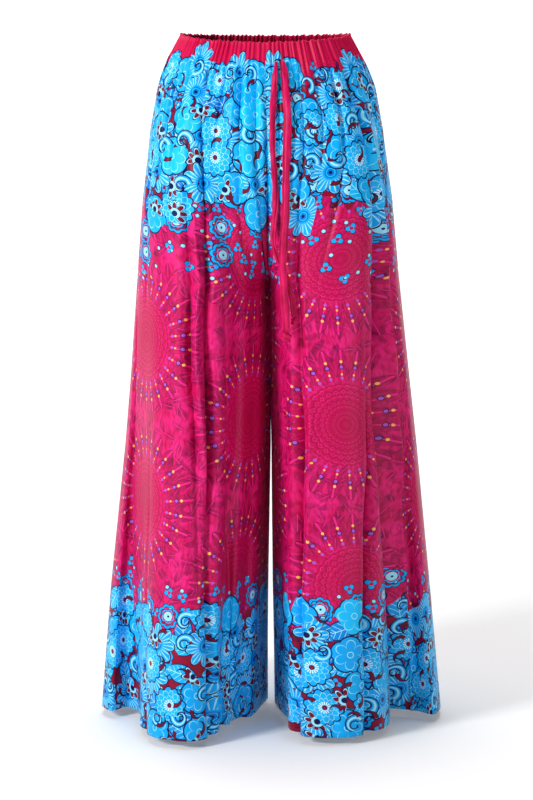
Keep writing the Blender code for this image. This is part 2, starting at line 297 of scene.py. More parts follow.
CREASES = {
    ("front", "right"): [
        fold(
            0.020, (4, 13, 11),
            (-0.03, 0.56), (-0.21, 0.59), (-0.35, 0.523), (-0.50, 0.54), (-0.64, 0.555), (-0.95, 0.595),
        ),
        fold(
            0.016, (-1, -7, -3),
            (-0.20, 0.54), (-0.40, 0.49), (-0.55, 0.527), (-0.73, 0.57), (-0.90, 0.61),
        ),
        fold(0.018, (2, 9, 3), (-0.16, 0.51), (-0.38, 0.455), (-0.55, 0.490), (-0.74, 0.53)),
        fold(0.022, (3, 5, 2), (-0.05, 0.935), (-0.20, 0.925), (-0.38, 0.94), (-0.62, 0.95)),
        fold(0.020, (1, 4, 2), (-0.40, 0.09), (-0.60, 0.10), (-0.90, 0.15)),
        fold(0.020, (1, 4, 3), (-0.36, 0.60), (-0.50, 0.62), (-0.74, 0.69), (-0.97, 0.75)),
        fold(0.020, (3, 3, 0), (-0.02, 0.30), (-0.10, 0.315), (-0.19, 0.30)),
        fold(0.018, (3, 3, 1), (-0.02, 0.42), (-0.09, 0.41), (-0.24, 0.38)),
        fold(0.020, (3, 4, 0), (-0.02, 0.83), (-0.12, 0.82), (-0.31, 0.74)),
        fold(0.022, (2, 3, 1), (-0.02, 0.17), (-0.13, 0.19), (-0.33, 0.20)),
        fold(0.016, (3, 3, 0), (-0.02, 0.70), (-0.08, 0.69), (-0.16, 0.67)),
        fold(0.030, (0, 3, 4), (-0.50, 0.27), (-0.70, 0.29), (-0.97, 0.33)),
        fold(0.022, (0, 2, 3), (-0.45, 0.40), (-0.68, 0.43), (-0.97, 0.46)),
    ],
    ("front", "left"): [
        fold(
            0.026, (4, 20, 12),
            (-0.03, 0.40), (-0.21, 0.33), (-0.36, 0.30), (-0.47, 0.333),
            (-0.59, 0.335), (-0.74, 0.322), (-0.95, 0.28),
        ),
        fold(
            0.032, (-2, -11, -5),
            (-0.12, 0.33), (-0.29, 0.255), (-0.44, 0.262), (-0.62, 0.26), (-0.80, 0.24), (-0.95, 0.21),
        ),
        fold(
            0.022, (0, 12, 14),
            (-0.36, 0.385), (-0.57, 0.405), (-0.67, 0.432), (-0.79, 0.460), (-0.96, 0.482),
        ),
        fold(
            0.022, (1, 13, 8),
            (-0.24, 0.72), (-0.36, 0.675), (-0.50, 0.672), (-0.73, 0.685), (-0.95, 0.695),
        ),
        fold(0.022, (-1, -5, -2), (-0.34, 0.63), (-0.50, 0.625), (-0.74, 0.645), (-0.92, 0.66)),
        fold(0.022, (3, 5, 2), (-0.05, 0.93), (-0.22, 0.915), (-0.40, 0.93), (-0.60, 0.95)),
        fold(0.018, (4, 4, 0), (-0.02, 0.50), (-0.12, 0.53), (-0.24, 0.57), (-0.36, 0.58)),
        fold(0.020, (3, 4, 0), (-0.02, 0.76), (-0.23, 0.76), (-0.36, 0.67), (-0.52, 0.61)),
        fold(0.018, (3, 3, 0), (-0.02, 0.64), (-0.10, 0.65), (-0.19, 0.66)),
        fold(0.022, (3, 3, 0), (-0.02, 0.21), (-0.10, 0.20), (-0.20, 0.17)),
        fold(0.018, (3, 3, 0), (-0.02, 0.88), (-0.09, 0.88), (-0.20, 0.86)),
        fold(0.026, (0, 4, 4), (-0.40, 0.75), (-0.60, 0.77), (-0.97, 0.80)),
        fold(0.024, (0, 2, 3), (-0.60, 0.58), (-0.78, 0.59), (-0.98, 0.59)),
    ],
    ("back", "right"): [
        fold(0.022, (3, 9, 6), (-0.02, 0.34), (-0.20, 0.31), (-0.45, 0.27), (-0.90, 0.24)),
        fold(0.020, (3, 7, 5), (-0.02, 0.55), (-0.24, 0.57), (-0.50, 0.545), (-0.95, 0.54)),
        fold(0.018, (-1, -4, -2), (-0.10, 0.47), (-0.30, 0.48), (-0.52, 0.465), (-0.80, 0.45)),
        fold(0.022, (3, 3, 0), (-0.02, 0.22), (-0.11, 0.21), (-0.24, 0.18)),
        fold(0.020, (4, 4, 0), (-0.02, 0.67), (-0.14, 0.70), (-0.30, 0.71)),
        fold(0.018, (3, 3, 0), (-0.02, 0.82), (-0.10, 0.81), (-0.19, 0.80)),
        fold(0.024, (1, 4, 4), (-0.38, 0.70), (-0.62, 0.73), (-0.97, 0.76)),
    ],
    ("back", "left"): [
        fold(0.022, (3, 8, 5), (-0.02, 0.28), (-0.22, 0.27), (-0.50, 0.23), (-0.92, 0.20)),
        fold(0.022, (4, 8, 5), (-0.02, 0.60), (-0.26, 0.64), (-0.54, 0.655), (-0.96, 0.66)),
        fold(0.020, (-1, -4, -1), (-0.14, 0.54), (-0.36, 0.56), (-0.62, 0.56), (-0.86, 0.55)),
        fold(0.020, (3, 4, 0), (-0.02, 0.44), (-0.12, 0.43), (-0.28, 0.41)),
        fold(0.020, (3, 3, 0), (-0.02, 0.16), (-0.10, 0.15), (-0.18, 0.13)),
        fold(0.020, (3, 4, 0), (-0.02, 0.78), (-0.15, 0.79), (-0.33, 0.76)),
        fold(0.024, (0, 3, 4), (-0.44, 0.38), (-0.66, 0.40), (-0.97, 0.41)),
    ],
}
MM = 0.001
DEPTH = 1.9
SOFT_PART = 0.45
SHARP_WIDTH = 0.38
CREASE_START = 0.025
FADE_IN = 0.04
FADE_OUT = 0.06
NEAR_HEM = 0.9
UNEVEN = 0.18


def crease(row, shares, heights):
    """How far one crease pushes the cloth in, over a whole panel."""
    tops = np.array([-z for z, _ in row["path"]])
    line = np.array([[share] for _, share in row["path"]])
    place = hermite(tops, line, np.gradient(line, tops, axis=0), -heights)
    deep = np.interp(-heights, np.linspace(tops[0], tops[-1], 3), row["deep"])
    if tops[-1] < NEAR_HEM:
        deep = deep * smooth((tops[-1] - 0.005 + heights) / FADE_OUT + 1)
    deep = deep * smooth((-heights - tops[0]) / FADE_IN + 1)
    deep = deep * smooth((BAND_BOTTOM - heights) / CREASE_START)
    uneven = 1 + UNEVEN * np.sin(heights * 41 + line[0] * 60)
    away = np.abs(shares[None, :] - place) / row["wide"]
    trough = SOFT_PART * np.exp(-(away**2)) + (1 - SOFT_PART) * np.exp(-away / SHARP_WIDTH)
    return (deep * uneven)[:, None] * trough * DEPTH * MM


# %% [markdown]
# ## Gathers
#
# The casing squeezes about one and a half times its own length of cloth onto the elastic, so the
# waist is all small ridges. Each is a bump at its own share of the row, and dies out at its own
# distance below the casing, while a few wide ones go on down the hip.

# %% Gathers from a seeded list of ridges
FINE_GATHERS = 27
WIDE_GATHERS = 11


def gathers(front, side, shares, heights):
    """How far the gathers push the cloth out, over a whole panel or its part of the casing."""
    random = np.random.default_rng(11 + QUARTERS.index((front, side)))
    below = np.clip(BAND_BOTTOM - heights, 0, None)[:, None]
    push = np.zeros((len(heights), len(shares)))
    for number in range(FINE_GATHERS):
        place = (number + 0.5 + random.uniform(-0.3, 0.3)) / FINE_GATHERS
        high = random.uniform(1.4, 3.4) * MM
        reach = random.uniform(0.020, 0.085)
        wide = random.uniform(0.20, 0.36) / FINE_GATHERS * (1 + below / 0.05)
        lean = random.uniform(-0.25, 0.25)
        bump = np.exp(-(((shares[None, :] - place - lean * below) / wide) ** 2))
        push += high * np.exp(-((below / reach) ** 1.4)) * bump
    for number in range(WIDE_GATHERS):
        place = (number + 0.5 + random.uniform(-0.35, 0.35)) / WIDE_GATHERS
        high = random.uniform(2.0, 5.0) * MM
        reach = random.uniform(0.05, 0.20)
        wide = random.uniform(0.018, 0.034) * (1 + below / 0.30)
        lean = random.uniform(-0.20, 0.20)
        bump = np.exp(-(((shares[None, :] - place - lean * below) / wide) ** 2))
        push += high * (1 - np.exp(-below / 0.02)) * np.exp(-((below / reach) ** 1.6)) * bump
    return push


# %% Cloth surfaces as meshes
def add_object(name, data):
    """A new object in the scene."""
    added = bpy.data.objects.new(name, data)
    scene.collection.objects.link(added)
    return added


def grid_mesh(name, points, uvs, turned):
    """A mesh of quads through a grid of points, with a UV map in metres of flat cloth."""
    rows, columns = points.shape[:2]
    index = np.arange(rows * columns).reshape(rows, columns)
    corners = [index[:-1, :-1], index[1:, :-1], index[1:, 1:], index[:-1, 1:]]
    if turned:
        corners.reverse()
    faces = np.stack([corner.ravel() for corner in corners], axis=1)
    mesh = bpy.data.meshes.new(name)
    mesh.vertices.add(rows * columns)
    mesh.vertices.foreach_set("co", points.reshape(-1))
    mesh.loops.add(faces.size)
    mesh.loops.foreach_set("vertex_index", faces.ravel())
    mesh.polygons.add(len(faces))
    mesh.polygons.foreach_set("loop_start", np.arange(0, faces.size, 4))
    mesh.update(calc_edges=True)
    layer = mesh.uv_layers.new(name="Cloth")
    layer.uv.foreach_set("vector", uvs.reshape(-1, 2)[faces.ravel()].ravel())
    mesh.shade_smooth()
    mesh.validate()
    return add_object(name, mesh)


def weld(piece, distance, shut=False):
    """Join the points that lie together, fill open ends if asked, and turn all faces outwards."""
    welded = bmesh.new()
    welded.from_mesh(piece.data)
    bmesh.ops.remove_doubles(welded, verts=welded.verts, dist=distance)
    if shut:
        bmesh.ops.holes_fill(welded, edges=[e for e in welded.edges if e.is_boundary])
    bmesh.ops.recalc_face_normals(welded, faces=welded.faces)
    welded.to_mesh(piece.data)
    welded.free()


# %% [markdown]
# ## Panels
#
# A panel is its form, pushed in by its creases and out by its gathers. Rows are closest together
# near the waist, where the gathers are. The UV map is the flat cloth: across it counts the width
# that was cut, not the width that shows, so the print bunches up where the cloth does.

# %% Build the four panels
COLUMNS = 190
ROWS = 225
TUCKED = 0.005
EVEN_PART = 0.45
CROWDING = 1.7
GATHER_FULLNESS = 1.45
SEAM_SOFT = 0.03
FLAT_OFFSET = dict(zip(QUARTERS, (0.0, 0.74, 1.52, 2.31)))
HEM_TURN = 0.012
flat_sizes = {}
hem_rows = []


def flat_uvs(form, front, side, heights):
    """Metres of flat cloth at every point: across the panel, and down from the waist's own line."""
    steps = np.linalg.norm(np.diff(form, axis=1), axis=2)
    width = np.maximum(steps.sum(axis=1), steps[0].sum() * GATHER_FULLNESS)
    share = np.linspace(-0.5, 0.5, form.shape[1])
    across = width[:, None] * share[None, :] * (1 if side == "left" else -1)
    down = heights[:, None] * np.ones_like(across)
    return np.stack([across + FLAT_OFFSET[front, side], down], axis=2), width


def panel_heights():
    """Rows from just inside the casing to the hem, closer together near the waist."""
    t = np.linspace(0, 1, ROWS)
    top = BAND_BOTTOM + TUCKED
    return top + (HEM - top) * (EVEN_PART * t + (1 - EVEN_PART) * t**CROWDING)


def seam_edges(shares):
    """0 at the two seams of a panel and 1 away from them, because a seam holds its cloth flat."""
    return (smooth(shares / SEAM_SOFT) * smooth((1 - shares) / SEAM_SOFT))[None, :]


def make_panel(front, side):
    """One panel of printed cloth."""
    shares = np.linspace(0, 1, COLUMNS)
    heights = panel_heights()
    form = panel_form(front, side, shares, heights)
    push = gathers(front, side, shares, heights)
    for row in CREASES[front, side]:
        push = push - crease(row, shares, heights)
    push = push * seam_edges(shares)
    ways = outward(form, front, side)
    points = form + ways * push[:, :, None]
    sewn = int(np.argmin(abs(heights - HEM - HEM_TURN)))
    hem_rows.append(points[sewn] + ways[sewn] * CLOTH / 2)
    uvs, widths = flat_uvs(form, front, side, heights)
    turned = (front == "front") == (side == "left")
    piece = grid_mesh(f"{front}_{side}_cloth", points, uvs, not turned)
    wall = piece.modifiers.new("wall", "SOLIDIFY")
    wall.thickness = CLOTH
    wall.offset = -1
    area = float(np.sum((widths[1:] + widths[:-1]) / 2 * -np.diff(heights)))
    flat_sizes[front, side] = (float(widths.max()), float(heights[0] - heights[-1]), area)
    print(f"{piece.name}: {len(piece.data.polygons)} quads, cut {widths.max():.2f} m wide at the hem")
    return piece


panels = {quarter: make_panel(*quarter) for quarter in QUARTERS}

# %% [markdown]
# ## The casing
#
# The casing is one strip folded over the elastic, so its section is a narrow loop: up the outside,
# over the top and down the inside. Going round the waist it repeats the gathers of the panels below
# it, and that is what makes the rim look ruffled.

# %% Build the casing
CASING_COLUMNS = 280
FOLD_RADIUS = 0.0014
CASING_ROWS = 14
RIM_WAVE = 0.0017
RIM_RISE = 0.0034
INSIDE_SHIFT = 0.4


def casing_profile():
    """Heights and distances inside the outer surface, up the outside, over and down the inside."""
    shoulder = BAND_TOP + RIM_RISE - FOLD_RADIUS
    up = [(z, 0.0) for z in np.linspace(BAND_BOTTOM, shoulder, CASING_ROWS)]
    turn = [
        (shoulder + FOLD_RADIUS * np.sin(a), FOLD_RADIUS * (1 - np.cos(a)))
        for a in np.linspace(0, pi, 9)[1:-1]
    ]
    down = [(z, 2 * FOLD_RADIUS) for z, _ in reversed(up)]
    return up + turn + down + up[:1]


def make_casing():
    """The gathered casing, all round the waist."""
    profile = casing_profile()
    heights = np.array([z for z, _ in profile])
    inside = np.array([off for _, off in profile])[:, None]
    shares = np.linspace(0, 1, CASING_COLUMNS)
    parts, flats = [], []
    walk = [("front", "left", 1), ("front", "right", -1), ("back", "right", 1), ("back", "left", -1)]
    for front, side, way in walk:
        form = panel_form(front, side, shares, heights)
        push = gathers(front, side, shares, heights) * seam_edges(shares)
        level = panel_form(front, side, shares, np.array([FOLD_RADIUS, -FOLD_RADIUS]))
        ways = unit(outward(level, front, side)[:1] * (1, 1, 0))
        points = form + ways * (push + CASING_PROUD - inside)[:, :, None]
        rise = smooth((heights + BAND_TOP) / (2 * BAND_TOP))[:, None]
        points[:, :, 2] += RIM_WAVE * rise * (push / (2 * MM) - 0.5)
        flat, _ = flat_uvs(form, front, side, heights)
        flat[:, :, 1] += INSIDE_SHIFT * (inside > FOLD_RADIUS)
        flats.append(flat[:, ::way])
        parts.append(points[:, ::way])
    piece = grid_mesh("casing", np.concatenate(parts, axis=1), np.concatenate(flats, axis=1), False)
    weld(piece, 0.0001)
    return piece


casing = make_casing()
print(f"casing: {len(casing.data.polygons)} quads")

# %% [markdown]
# ## Stitches round the hems
#
# The hem is turned up and sewn with one row of small stitches. Geometry Nodes suit anything that
# repeats along a line: the tree walks along each row, puts a stitch at every step and turns it
# the way the row runs. Its inputs are the sizes that a sewing machine has.

# %% A tree that sews along a line
def sewing_tree():
    """A Geometry Nodes tree: stitches of a given size along the edges of a mesh."""
    tree = bpy.data.node_groups.new("sewn_row", "GeometryNodeTree")
    kinds = {"Geometry": "Geometry", "Step": "Float", "Size": "Vector", "Thread": "Material"}
    sockets = {
        name: tree.interface.new_socket(name, in_out="INPUT", socket_type=f"NodeSocket{kind}").identifier
        for name, kind in kinds.items()
    }
    tree.interface.new_socket("Geometry", in_out="OUTPUT", socket_type="NodeSocketGeometry")

    def add(kind, settings=(), **sources):
        node = tree.nodes.new(kind)
        for setting, value in settings:
            setattr(node, setting, value)
        for place, source in sources.items():
            tree.links.new(source, node.inputs[place])
        return node

    given = add("NodeGroupInput").outputs
    curve = add("GeometryNodeMeshToCurve", Mesh=given["Geometry"]).outputs[0]
    by_length = [("mode", "LENGTH")]
    stepped = add("GeometryNodeResampleCurve", by_length, Curve=curve, Length=given["Step"])
    stitch = add("GeometryNodeMeshIcoSphere")
    stitch.inputs["Radius"].default_value = 0.5
    tangent = add("GeometryNodeInputTangent").outputs[0]
    turned = add("FunctionNodeAlignRotationToVector", [("axis", "Z")], Vector=tangent)
    placed = add(
        "GeometryNodeInstanceOnPoints",
        Points=stepped.outputs[0], Instance=stitch.outputs[0],
        Rotation=turned.outputs[0], Scale=given["Size"],
    )
    real = add("GeometryNodeRealizeInstances", Geometry=placed.outputs[0])
    dyed = add("GeometryNodeSetMaterial", Geometry=real.outputs[0], Material=given["Thread"])
    tree.links.new(dyed.outputs[0], add("NodeGroupOutput").inputs[0])
    return tree, sockets


# %% Sew the hems
STITCH_STEP = 0.0034
STITCH_SIZE = (0.0005, 0.0005, 0.0024)


def sew_rows(name, rows, thread):
    """One mesh of all the stitches along several rows of points."""
    tree, sockets = sewing_tree()
    line = bpy.data.meshes.new(f"{name}_line")
    starts = np.cumsum([0] + [len(row) for row in rows])
    edges = [(start + i, start + i + 1) for start, row in zip(starts, rows) for i in range(len(row) - 1)]
    line.from_pydata(np.concatenate(rows).tolist(), edges, [])
    draft = add_object(f"{name}_draft", line)
    sewing = draft.modifiers.new("sewing", "NODES")
    sewing.node_group = tree
    sewing[sockets["Step"]] = STITCH_STEP
    sewing[sockets["Size"]] = STITCH_SIZE
    sewing[sockets["Thread"]] = thread
    graph = bpy.context.evaluated_depsgraph_get()
    mesh = bpy.data.meshes.new_from_object(draft.evaluated_get(graph))
    bpy.data.objects.remove(draft)
    print(f"{name}: {len(mesh.polygons)} faces")
    return add_object(name, mesh)


# %% [markdown]
# ## The drawstring
#
# The drawstring is a strip of the same plain cloth, folded lengthways and limp. Its two ends come
# out of the casing at the centre front and hang to their knots. Each follows the frame's route,
# written again here, and is swept with a flat section that turns, narrows and puckers on the way.

# %% Routes of the two ends
LONG_END = [
    (0.0240, -0.0962, -0.0190), (0.0262, -0.1002, -0.0330), (0.0280, -0.1054, -0.0550),
    (0.0300, -0.1134, -0.0800), (0.0308, -0.1190, -0.1050), (0.0302, -0.1244, -0.1350),
    (0.0290, -0.1282, -0.1650), (0.0286, -0.1300, -0.1950), (0.0284, -0.1306, -0.2250),
    (0.0262, -0.1308, -0.2650), (0.0243, -0.1310, -0.3000), (0.0262, -0.1310, -0.3400),
    (0.0283, -0.1308, -0.3760), (0.0288, -0.1308, -0.3975),
]
LONG_KNOT = (0.0290, -0.1308, -0.4067)
SHORT_END = [
    (0.0150, -0.0949, -0.0200), (0.0138, -0.0986, -0.0330), (0.0122, -0.1042, -0.0550),
    (0.0105, -0.1106, -0.0800), (0.0096, -0.1154, -0.1050), (0.0100, -0.1192, -0.1450),
    (0.0115, -0.1207, -0.1650), (0.0140, -0.1217, -0.2000), (0.0138, -0.1219, -0.2250),
    (0.0115, -0.1219, -0.2500), (0.0110, -0.1219, -0.2720), (0.0155, -0.1219, -0.2900),
    (0.0250, -0.1219, -0.3120), (0.0335, -0.1219, -0.3350), (0.0385, -0.1219, -0.3550),
    (0.0412, -0.1219, -0.3790),
]
SHORT_KNOT = (0.0414, -0.1219, -0.3853)

# %% Sweep a strip along a route
ROUND = 40
STEP = 0.0022


def distances(points):
    """How far each point is from the first, walking through the ones between."""
    return np.concatenate([[0], np.cumsum(np.linalg.norm(np.diff(points, axis=0), axis=1))])


def smooth_route(route):
    """Evenly spaced points on a smooth curve through a route, and its length."""
    points = np.array(route)
    walked = distances(points)
    slopes = np.gradient(points, walked, axis=0)
    fine = hermite(walked, points, slopes, np.linspace(0, walked[-1], FINE))
    steps = distances(fine)
    wanted = np.linspace(0, steps[-1], int(steps[-1] / STEP))
    return np.stack([np.interp(wanted, steps, axis) for axis in fine.T], axis=1), float(steps[-1])


def make_strip(name, route, wide, thick, seed):
    """A limp strip of cloth along a route, as a closed tube with a puckered flat section."""
    random = np.random.default_rng(seed)
    path, length = smooth_route(route)
    walked = np.linspace(0, length, len(path))
    along = unit(np.gradient(path, axis=0))
    turn = np.radians(16) * np.sin(walked * 23 + seed) + np.radians(9) * np.sin(walked * 61 + 2 * seed)
    across = unit(np.cross(along, (0, -1, 0)))
    fore = np.cross(across, along)
    side = across * np.cos(turn)[:, None] + fore * np.sin(turn)[:, None]
    face = fore * np.cos(turn)[:, None] - across * np.sin(turn)[:, None]
    angles = np.linspace(0, 2 * pi, ROUND, endpoint=False)
    width = wide / 2 * (0.87 + 0.07 * np.sin(walked * 47 + seed) + 0.06 * np.sin(walked * 151 + 2 * seed))
    folds = np.zeros((len(path), ROUND))
    for number in range(4):
        place = random.uniform(0, 2 * pi) + 0.5 * np.sin(walked * random.uniform(8, 20) + number)
        gap = np.angle(np.exp(1j * (angles[None, :] - place[:, None])))
        folds -= random.uniform(0.55, 0.85) * np.exp(-((gap / 0.20) ** 2))
    pucker = 0.16 * np.sin(walked[:, None] * 190 + 3 * np.sin(angles[None, :] + seed))
    x = width[:, None] * np.cos(angles)[None, :]
    y = thick / 2 * np.sin(angles)[None, :] * (1 + folds + pucker)
    ends = np.minimum(1, 0.50 + walked[:, None] / 0.040)
    rings = path[:, None] + side[:, None] * (x * ends)[:, :, None] + face[:, None] * y[:, :, None]
    closed = np.concatenate([rings, rings[:, :1]], axis=1)
    across_uv = np.linspace(0, 2 * wide, ROUND + 1)[None, :] * np.ones((len(path), 1))
    uvs = np.stack([across_uv + seed, -walked[:, None] * np.ones_like(across_uv)], axis=2)
    piece = grid_mesh(name, closed, uvs, True)
    weld(piece, 0.00001, shut=True)
    print(f"{name}: {length * 1000:.0f} mm")
    return piece, path, length


# %% Knots
def make_knot(name, centre, radius, tall, seed):
    """A pulled-tight knot: a lump wrapped by two turns of the strip, at a slant."""
    mesh = bpy.data.meshes.new(name)
    ball = bmesh.new()
    bmesh.ops.create_uvsphere(ball, u_segments=40, v_segments=26, radius=1)
    for vertex in ball.verts:
        way = vertex.co.normalized()
        turns = 0.13 * np.cos(7 * way.z + 2.4 * way.x + seed)
        lumps = 0.07 * np.sin(5 * way.x + seed) * np.cos(4 * way.y - seed)
        size = radius * (0.90 + turns + lumps)
        vertex.co = (way.x * size, way.y * size * 0.85, way.z * size * tall / radius)
    bmesh.ops.translate(ball, verts=ball.verts, vec=centre)
    ball.to_mesh(mesh)
    ball.free()
    mesh.shade_smooth()
    return add_object(name, mesh)


STRIPS = {
    "drawstring_long": (LONG_END, 0.0135, 0.0052, LONG_KNOT, 0.0088, 0.0096, 3),
    "drawstring_short": (SHORT_END, 0.0100, 0.0046, SHORT_KNOT, 0.0058, 0.0066, 5),
}
strips = {}
for name, (route, wide, thick, centre, radius, tall, seed) in STRIPS.items():
    strip, path, length = make_strip(f"{name}_cloth", route, wide, thick, seed)
    knot = make_knot(f"{name.replace('drawstring', 'knot')}_cloth", centre, radius, tall, seed)
    strips[name] = (strip, knot, path, length, wide)

# %% [markdown]
# ## Shader maths
#
# The print is drawn by arithmetic on the cloth's own flat coordinates. A small class stands for a
# socket in the node tree, so that `1 - mask` or `near < 0.002` adds the Math nodes by itself.

# %% Sockets that understand arithmetic
class Signal:
    """A number, colour or vector inside a material. Operators add Math nodes."""

    def __init__(self, paint, socket):
        self.paint = paint
        self.socket = socket

    def other(self, name):
        """Another output of the node that this signal comes from."""
        return Signal(self.paint, self.socket.node.outputs[name])

    def math(self, operation, *others):
        return self.paint.math(operation, self, *others)

    def __rsub__(self, other):
        return self.paint.math("SUBTRACT", other, self)


def operator(operation):
    """A method of a signal that adds one Math node."""
    return lambda signal, *others: signal.math(operation, *others)


OPERATORS = {
    "__add__": "ADD", "__radd__": "ADD", "__sub__": "SUBTRACT", "__mul__": "MULTIPLY",
    "__rmul__": "MULTIPLY", "__truediv__": "DIVIDE", "__lt__": "LESS_THAN", "__gt__": "GREATER_THAN",
    "__and__": "MULTIPLY", "__or__": "MAXIMUM", "__abs__": "ABSOLUTE", "cos": "COSINE", "fract": "FRACT",
}
for method, operation in OPERATORS.items():
    setattr(Signal, method, operator(operation))


class Paint:
    """A material with one way to add a node."""

    def __init__(self, name):
        self.material = bpy.data.materials.new(name)
        self.material.use_nodes = True
        self.tree = self.material.node_tree
        self.shader = self.tree.nodes["Principled BSDF"]

    def node(self, kind, settings, sockets, output=0):
        """Add a node, set its settings, fill its sockets, and return one output."""
        made = self.tree.nodes.new(kind)
        for setting, value in settings.items():
            setattr(made, setting, value)
        for place, value in sockets.items():
            self.feed(made.inputs[place], value)
        return Signal(self, made.outputs[output])

    def feed(self, socket, value):
        """Give a socket a value or a link."""
        if isinstance(value, Signal):
            self.tree.links.new(value.socket, socket)
        else:
            socket.default_value = value

    def math(self, operation, *values):
        return self.node("ShaderNodeMath", {"operation": operation}, dict(enumerate(values)))

    def vector(self, operation, *values, output=0):
        return self.node("ShaderNodeVectorMath", {"operation": operation}, dict(enumerate(values)), output)

    def mix(self, mask, under, over):
        """One colour over another where the mask is 1."""
        sockets = {0: mask, 6: under, 7: over}
        return self.node("ShaderNodeMix", {"data_type": "RGBA"}, sockets, 2)

    def noise(self, at, scale, detail=2.0):
        sockets = {"Vector": at, "Scale": scale, "Detail": detail}
        return self.node("ShaderNodeTexNoise", {}, sockets)


class Coat:
    """The colour of a cloth so far. Each layer covers it where the layer's mask is 1."""

    def __init__(self, paint, colour):
        self.paint = paint
        self.colour = colour

    def lay(self, mask, colour):
        self.colour = self.paint.mix(mask, self.colour, colour)


def ink(red, green, blue):
    """A printed colour, given as screen values from 0 to 255."""
    screen = np.array([red, green, blue]) / 255
    linear = np.where(screen > 0.04045, ((screen + 0.055) / 1.055) ** 2.4, screen / 12.92)
    return (*(float(part) for part in linear), 1.0)


# %% Inks of the print
DEEP = ink(0, 114, 206)
AZURE = ink(0, 164, 240)
SKY = ink(14, 190, 252)
PALE = ink(150, 226, 252)
WHITE = ink(222, 246, 255)
NAVY = ink(6, 14, 74)
BURGUNDY = ink(112, 4, 36)
BAND_DARK = ink(178, 2, 58)
BAND_LIGHT = ink(214, 8, 82)
# The drawstring's two inks are a painted shade and a painted highlight of its magenta.
STRING_PAINTED_SHADE = ink(150, 0, 52)
STRING_PAINTED_HIGHLIGHT = ink(222, 18, 98)
MAGENTA = ink(200, 8, 92)
ROSE = ink(240, 36, 136)
CRIMSON = ink(156, 0, 46)
PLUM = ink(88, 2, 54)
VIOLET = ink(168, 84, 196)
GOLD = ink(250, 188, 96)

# %% [markdown]
# ## Motifs
#
# A Voronoi texture scatters points over the flat cloth and tells every place which point is nearest.
# Around each point one motif is drawn in its own polar coordinates, turned by its own angle. A
# motif knows the height of its own centre, so it is printed whole or not at all, and that is what
# gives the flower borders their ragged edges.

# %% One motif per Voronoi cell
class Motif:
    """The nearest motif's own coordinates, and the random numbers that belong to it."""

    def __init__(self, paint, flat, spacing, jitter, shift):
        self.paint = paint
        moved = paint.vector("ADD", flat, (shift, 1.7 * shift, 0.0))
        settings = {"voronoi_dimensions": "2D"}
        sockets = {"Vector": moved, "Scale": 1 / spacing, "Randomness": jitter}
        centre = paint.node("ShaderNodeTexVoronoi", settings, sockets, "Position")
        parts = paint.node("ShaderNodeSeparateColor", {}, {0: centre.other("Color")})
        self.pick, self.size, self.tone = parts, parts.other("Green"), parts.other("Blue")
        away = paint.vector("SUBTRACT", moved, centre)
        sockets = {"Vector": away, "Angle": self.tone * (2 * pi)}
        turned = paint.node("ShaderNodeVectorRotate", {"rotation_type": "Z_AXIS"}, sockets)
        self.x = paint.node("ShaderNodeSeparateXYZ", {}, {0: turned})
        self.y = self.x.other("Y")
        self.radius = paint.vector("LENGTH", away, output="Value")
        self.angle = paint.math("ARCTAN2", self.y, self.x)
        self.height = paint.node("ShaderNodeSeparateXYZ", {}, {0: centre}, "Y") - 1.7 * shift


def line(near, wide):
    """A drawn line where a signed distance is near nothing."""
    return abs(near) < wide / 2


def petals(motif, count, depth, inward=1.0, phase=0.0):
    """An outline with that many round lobes: 1 at the tips, less between them."""
    lobe = abs((motif.angle * (count / 2) + phase).cos())
    if inward != 1.0:
        lobe = lobe.math("POWER", inward)
    return lobe * depth + (1 - depth)


# %% Draw the flowers of the borders
FINE_LINE = 0.0012
OUTLINE = 0.0021


def rosette(motif, coat, reach, present):
    """A round flower: scalloped edge, rings of lobes and a ringed eye."""
    edge = petals(motif, 12, 0.17) * reach
    inside = (motif.radius < edge) & present
    coat.lay(inside, coat.paint.mix(motif.radius / reach, SKY, AZURE))
    for share, phase in ((0.80, pi / 2), (0.52, 0.0)):
        ring = motif.radius - petals(motif, 12, 0.26, phase=phase) * (reach * share)
        coat.lay(line(ring, FINE_LINE) & inside, PALE)
    rays = ((motif.angle * 15).cos() > 0.0) & (motif.radius < 0.0088)
    coat.lay(rays & inside, WHITE)
    coat.lay((motif.radius < 0.0036) & inside, NAVY)
    coat.lay((motif.radius < 0.0020) & inside, CRIMSON)
    rim = line(motif.radius - edge, OUTLINE) & present
    coat.lay(rim, NAVY)


def daisy(motif, coat, reach, present):
    """A flower of long petals with pale veins."""
    edge = petals(motif, 8, 0.48, inward=0.6) * reach
    inside = (motif.radius < edge) & present
    coat.lay(inside, AZURE)
    rim = line(motif.radius - edge + 0.0012, 0.0013)
    veins = ((motif.angle * 24).cos() > 0.62) & (motif.radius > 0.011) & (motif.radius < edge - 0.003)
    coat.lay((rim | veins) & inside, PALE)
    coat.lay((motif.radius < 0.0085) & inside, DEEP)
    coat.lay(line(motif.radius - 0.0058, 0.0013) & inside, SKY)
    coat.lay((motif.radius < 0.0026) & inside, NAVY)
    coat.lay(line(motif.radius - edge, 0.0020) & present, NAVY)


def line_flower(motif, coat, reach, present):
    """A broad azure shape with a flower of six petals drawn on it in one pale line."""
    edge = petals(motif, 5, 0.16, inward=0.5, phase=0.6) * reach
    inside = (motif.radius < edge) & present
    coat.lay(inside, coat.paint.mix(motif.size, AZURE, SKY))
    drawn = motif.radius - petals(motif, 6, 0.58, inward=0.55) * (reach * 0.80)
    eye = line(motif.radius - 0.0042, FINE_LINE)
    coat.lay((line(drawn, FINE_LINE) | eye) & inside, PALE)
    coat.lay(line(motif.radius - edge, OUTLINE) & present, NAVY)


